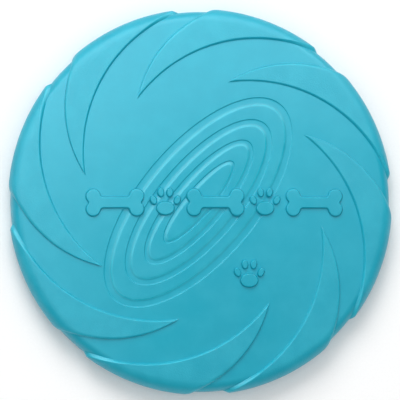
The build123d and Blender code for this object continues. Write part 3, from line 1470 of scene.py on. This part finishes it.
@dataclass(frozen=True)
class Studio:
    """A pale floor, soft lights, and a long-lens camera above the disc, a little left and front.

    Attributes:
        right: The camera's own right.
        up: The camera's own up.
        back: Direction from the disc to the camera.
        target_height: Height of the point that the camera looks at, before the next two moves.
        target_up: How far that point is moved along the camera's up.
        target_right: How far it is moved along the camera's right.
        distance: Distance from that point to the camera.
        view_width: Width that the camera sees there.
        sensor: Width of the camera's sensor, in millimetres.
        floor_half: Half the floor's side.
        card_waves: Waves of the floor's faint tooth, in each metre.
        card_range: The ramp that sharpens the tooth.
        card_tones: The card's darker and lighter grey.
        card_roughness: The card's roughness.
        card_specular: Strength of the card's gloss.
        ambient: Strength of the room's own light.
        lights: The lights, which face the disc.
    """

    right: Triple = (0.99289, -0.00599, 0.11886)
    up: Triple = (0.0, 0.99879, 0.05036)
    back: Triple = (-0.119, -0.050, 0.9917)
    target_height: float = 7.7 * MM
    target_up: float = 0.77 * MM
    target_right: float = -0.35 * MM
    distance: float = 4.0
    view_width: float = 186.3 * MM
    sensor: float = 36.0
    floor_half: float = 4.0
    card_waves: float = 900.0
    card_range: tuple[Pair, Pair] = ((0.3, 0.0), (0.7, 1.0))
    card_tones: Pair = (0.955, 0.975)
    card_roughness: float = 0.9
    card_specular: float = 0.1
    ambient: float = 0.32
    lights: tuple[SoftLight, ...] = (
        SoftLight("overhead_softbox", (0.0, 0.0, 2.0), (6.0, 6.0), 58.0, LightUse.EVEN),
        SoftLight("key_softbox", (-0.3, 1.38, 1.32), (1.1, 1.1), 22.0, LightUse.EVEN),
        SoftLight("far_side_panel", (-0.3, 1.29, 1.53), (8.0, 2.3), 190.0, LightUse.GLOSS),
        SoftLight("left_side_panel", (-0.68, 0.1, 1.88), (3.0, 1.1), 17.0, LightUse.GLOSS),
        SoftLight("right_side_panel", (0.95, 0.1, 1.65), (3.0, 0.9), 6.0, LightUse.GLOSS),
        SoftLight("low_strip", (-0.3, 1.8, 0.85), (8.0, 0.8), 62.0, LightUse.GLOSS),
    )

    def _floor(self) -> None:
        """Lays the floor that the disc stands on, a square of pale card with a faint tooth."""
        half = self.floor_half
        corners = [(-half, -half, 0), (half, -half, 0), (half, half, 0), (-half, half, 0)]
        mesh = bpy.data.meshes.new("studio_floor")
        mesh.from_pydata(corners, [], [(0, 1, 2, 3)])
        floor = bpy.data.objects.new("studio_floor", mesh)
        bpy.context.scene.collection.objects.link(floor)
        material = bpy.data.materials.new("pale_card")
        material.use_nodes = True
        build = NodeBuilder(material.node_tree)
        vector = build.add("ShaderNodeTexCoord").outputs["Object"]
        noise = build.noise(vector, self.card_waves, detail=3.0)
        tooth = build.ramp(noise, *self.card_range)
        shade = build.mix(tooth, *((tone, tone, tone, 1.0) for tone in self.card_tones))
        card = build.add("ShaderNodeBsdfPrincipled")
        values = {"Base Color": shade, "Roughness": self.card_roughness}
        values["Specular IOR Level"] = self.card_specular
        build.feed_all(card, values)
        build.feed(build.add("ShaderNodeOutputMaterial").inputs["Surface"], card.outputs[0])
        mesh.materials.append(material)

    def _world(self) -> None:
        """Fills the room with a low, even, white light."""
        world = bpy.data.worlds.new("studio_room")
        world.use_nodes = True
        build = NodeBuilder(world.node_tree)
        room = build.add("ShaderNodeBackground")
        build.feed_all(room, {"Color": (1.0, 1.0, 1.0, 1.0), "Strength": self.ambient})
        build.feed(build.add("ShaderNodeOutputWorld").inputs["Surface"], room.outputs[0])
        bpy.context.scene.world = world

    def _camera(self) -> None:
        """Sets the camera square to its own right, up and back, framed by its lens alone."""
        right, up, back = Vector(self.right), Vector(self.up), Vector(self.back)
        target = Vector((0, 0, self.target_height))
        target = target + up * self.target_up + right * self.target_right
        data = bpy.data.cameras.new("studio_camera")
        data.sensor_width = self.sensor
        data.lens = self.sensor * self.distance / self.view_width
        camera = bpy.data.objects.new("studio_camera", data)
        turn = Matrix((right, up, back)).transposed().to_4x4()
        camera.matrix_world = Matrix.Translation(target + back * self.distance) @ turn
        bpy.context.scene.collection.objects.link(camera)
        bpy.context.scene.camera = camera

    def build(self) -> None:
        """Builds the floor, the room, the lights and the camera."""
        self._floor()
        self._world()
        for light in self.lights:
            light.build()
        self._camera()
        bpy.context.scene.view_settings.view_transform = "Standard"


def main() -> None:
    """Builds the disc piece by piece around the frame, then the studio."""
    logging.basicConfig(level=logging.INFO, format="%(message)s")
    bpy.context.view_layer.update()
    form = DiscForm.from_frame()
    groups = RubberGroups()
    smooth = RubberFinish("satin_rubber", "rubber_smooth", groups)
    grained = RubberFinish(
        "stippled_rubber",
        "rubber_grained",
        groups,
        bloom=0.16,
        roughness=0.38,
        pitch=0.55 * MM,
        stipple=0.06 * MM,
    )
    # the motifs' finish lays on more dust and painted shade in the creases round them
    crease_shaded = RubberFinish("crease_shaded_rubber", "rubber_smooth", groups, dust_and_shade=2.6)

    plate = FlightPlate(form)
    plate.dress(plate.build(), smooth)
    rim = Rim(form)
    rim.dress(rim.build(), smooth)
    vanes = VaneRing(form)
    vanes.dress(vanes.build(), grained)
    motifs = Motifs(form)
    motifs.dress(motifs.build(), crease_shaded)
    Studio().build()


if __name__ == "__main__":
    main()
